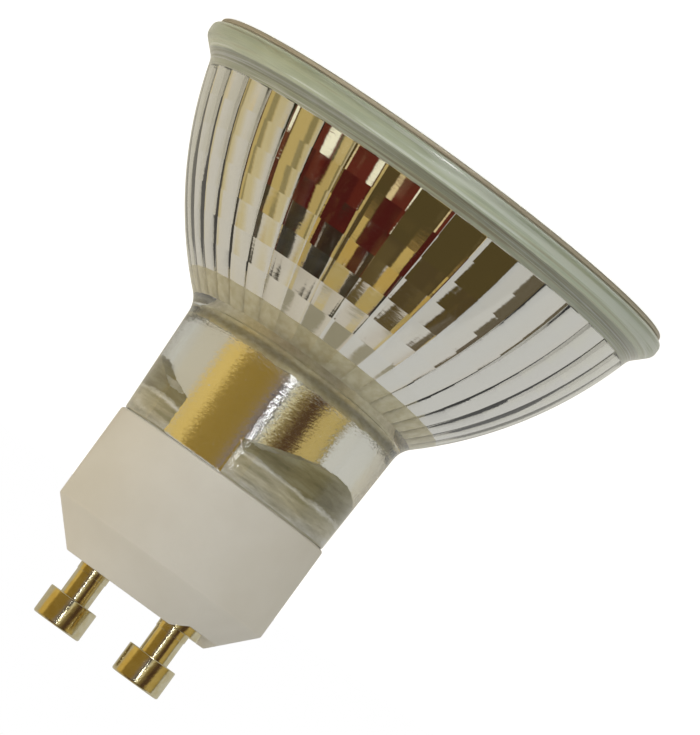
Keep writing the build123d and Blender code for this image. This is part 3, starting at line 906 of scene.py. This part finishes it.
def around(*stops, lean=0.0):
    """A colour that follows the bearing, from (bearing, sRGB hex) stops; it leans left as it rises."""
    leant = put(tree, "Math", {0: rise, 1: lean, 2: bearing}, operation="MULTIPLY_ADD")
    share = put(tree, "MapRange", {"Value": leant, "From Min": -180.0, "From Max": 180.0})
    shares = [((angle + 180) / 360, code) for angle, code in stops]
    return put(tree, "ValToRGB", {"Fac": share}, stops=shares)


# The walls at the height of the lamp, the pale ceiling above them and the paper below
walls = around(
    (-180, "#c9c4b4"), (-112, "#c7c0ad"), (-104, "#dcbe70"), (-80, "#e2c26e"), (-72, "#977c3b"),
    (-24, "#927838"), (-12, "#8c817e"), (-7, "#55555a"), (3, "#46464b"), (6, "#e8dfc0"), (10, "#e8dca8"),
    (14, "#8d7c50"), (24, "#7e6b44"), (30, "#4f3b28"), (46, "#553f2a"), (54, "#c4ad6b"), (82, "#b8a262"),
    (88, "#6d6238"), (93, "#d0cfc8"), (180, "#cdcbc1"), lean=0.6)
ceiling = around(
    (-180, "#cdc9c1"), (-130, "#cfc9bc"), (-106, "#d2cab9"), (-92, "#d0c8b8"), (-70, "#c8bfae"),
    (-40, "#c1b8a7"), (0, "#c6bdab"), (40, "#c8c1b5"), (66, "#cecbc3"), (100, "#cdccc7"), (180, "#cdcbc7"))
ceiling_from, paper_to, soft_line = 14, -30, 4
above = between(rise, ceiling_from, 95, soft_line)
below = between(rise, -95, paper_to, soft_line)
colour = put(tree, "MixRGB", {"Fac": above, "Color1": walls, "Color2": ceiling})
colour = put(tree, "MixRGB", {"Fac": below, "Color1": colour, "Color2": linear("#cfcfc9")})

# What stands before them: lowest and highest bearing, lowest and highest rise, softness, colour
furnishings = [
    (-108, -86, 14, 48, 6.0, "#c9b98b"),
    (-91, -58, 14, 47, 2.5, "#bfa767"),
    (-90, -81, 14, 43, 1.5, "#8f8155"),
    (-63, 64, 12, 45, 1.0, "#544728"),
    (-12, 57, 43, 57, 1.0, "#53452a"),
    (12, 50, 55, 64, 1.2, "#5c4e31"),
    (-66, -10, 33, 51, 1.2, "#4c1c17"),
    (-58, -40, 33, 41, 1.5, "#5e261b"),
    (-60, -12, 24, 33, 0.8, "#622a1f"),
    (-74, -42, 46, 58, 1.0, "#352d21"),
    (-80, -58, 50, 60, 1.2, "#383429"),
    (-64, -34, 54, 64, 1.0, "#35312a"),
    (-66, -36, 50, 55, 0.8, "#33261c"),
    (-34, -14, 50, 60, 1.0, "#471e17"),
    (-33, 16, 60, 67, 1.0, "#b29c60"),
    (-17, 8, 53, 61, 1.5, "#bf9f55"),
    (-9, 4, 45, 54, 1.2, "#c4a861"),
    (-16, -10, 26, 34, 0.8, "#e2cb97"),
    (-9, 4, 37, 40, 0.8, "#8a7040"),
    (-30, 2, 66, 71, 2.0, "#c2b07c"),
    (-70, 66, 73, 95, 1.5, "#979079"),
    (-58, -45, 26, 32, 0.8, "#fff9d8"),
    (5, 8, -12, 6, 0.7, "#fffbe4"),
]
for low_bearing, high_bearing, low_rise, high_rise, soft, code in furnishings:
    here = field((low_bearing, high_bearing), (low_rise, high_rise), soft, soft)
    colour = put(tree, "MixRGB", {"Fac": here, "Color1": colour, "Color2": linear(code)})

# A small lamp beside the camera, and a broad one low down that lights the film through the neck's wall
cool_white = linear("#f4f6f8")
near_lamp_power, low_lamp_power = 40.0, 26.0
near_lamp = field((-3.0, -1.0), (1.0, 5.0), 0.5, 0.5)
low_lamp = field((-8.0, 4.0), (-70.0, -34.0), 3.0, 4.0)
for lamp in (near_lamp, low_lamp):
    colour = put(tree, "MixRGB", {"Fac": lamp, "Color1": colour, "Color2": cool_white})
power = put(tree, "MapRange", {"Value": near_lamp, "To Min": 1.0, "To Max": near_lamp_power})
power = put(tree, "Math", {0: low_lamp, 1: low_lamp_power, 2: power}, operation="MULTIPLY_ADD")
mirrored = put(tree, "Background", {"Color": colour, "Strength": power})

# The soft light is white towards the camera, warmer on its left, dimmer on its right, and weaker from above
light = around(
    (-180, "#f3f1ee"), (-80, "#e6cf9f"), (-20, "#ffffff"), (10, "#ffffff"), (60, "#9b9587"),
    (110, "#b0ab9e"), (180, "#f3f1ee"))
high_up = put(tree, "MapRange", {"Value": rise, "From Min": 5.0, "From Max": 50.0})
strength = put(tree, "MapRange", {"Value": high_up, "To Min": 1.64, "To Max": 0.36})
soft_light = put(tree, "Background", {"Color": light, "Strength": strength})

# The camera sees white, mirrors and glass see the room, and all that scatters light gets the soft light
white = put(tree, "Background", {"Color": linear("#ffffff"), "Strength": 1.0})
ray = put(tree, "LightPath").outputs
seen = put(tree, "Math", {0: ray["Is Glossy Ray"], 1: ray["Is Transmission Ray"]}, operation="MAXIMUM")
scattered = put(tree, "Math", {0: ray["Diffuse Depth"], 1: 0.5}, operation="GREATER_THAN")
seen = put(tree, "Math", {0: seen, 1: scattered}, operation="SUBTRACT", use_clamp=True)
surroundings = put(tree, "MixShader", {0: seen, 1: soft_light, 2: mirrored})
surroundings = put(tree, "MixShader", {0: ray["Is Camera Ray"], 1: surroundings, 2: white})
put(tree, "OutputWorld", {"Surface": surroundings})
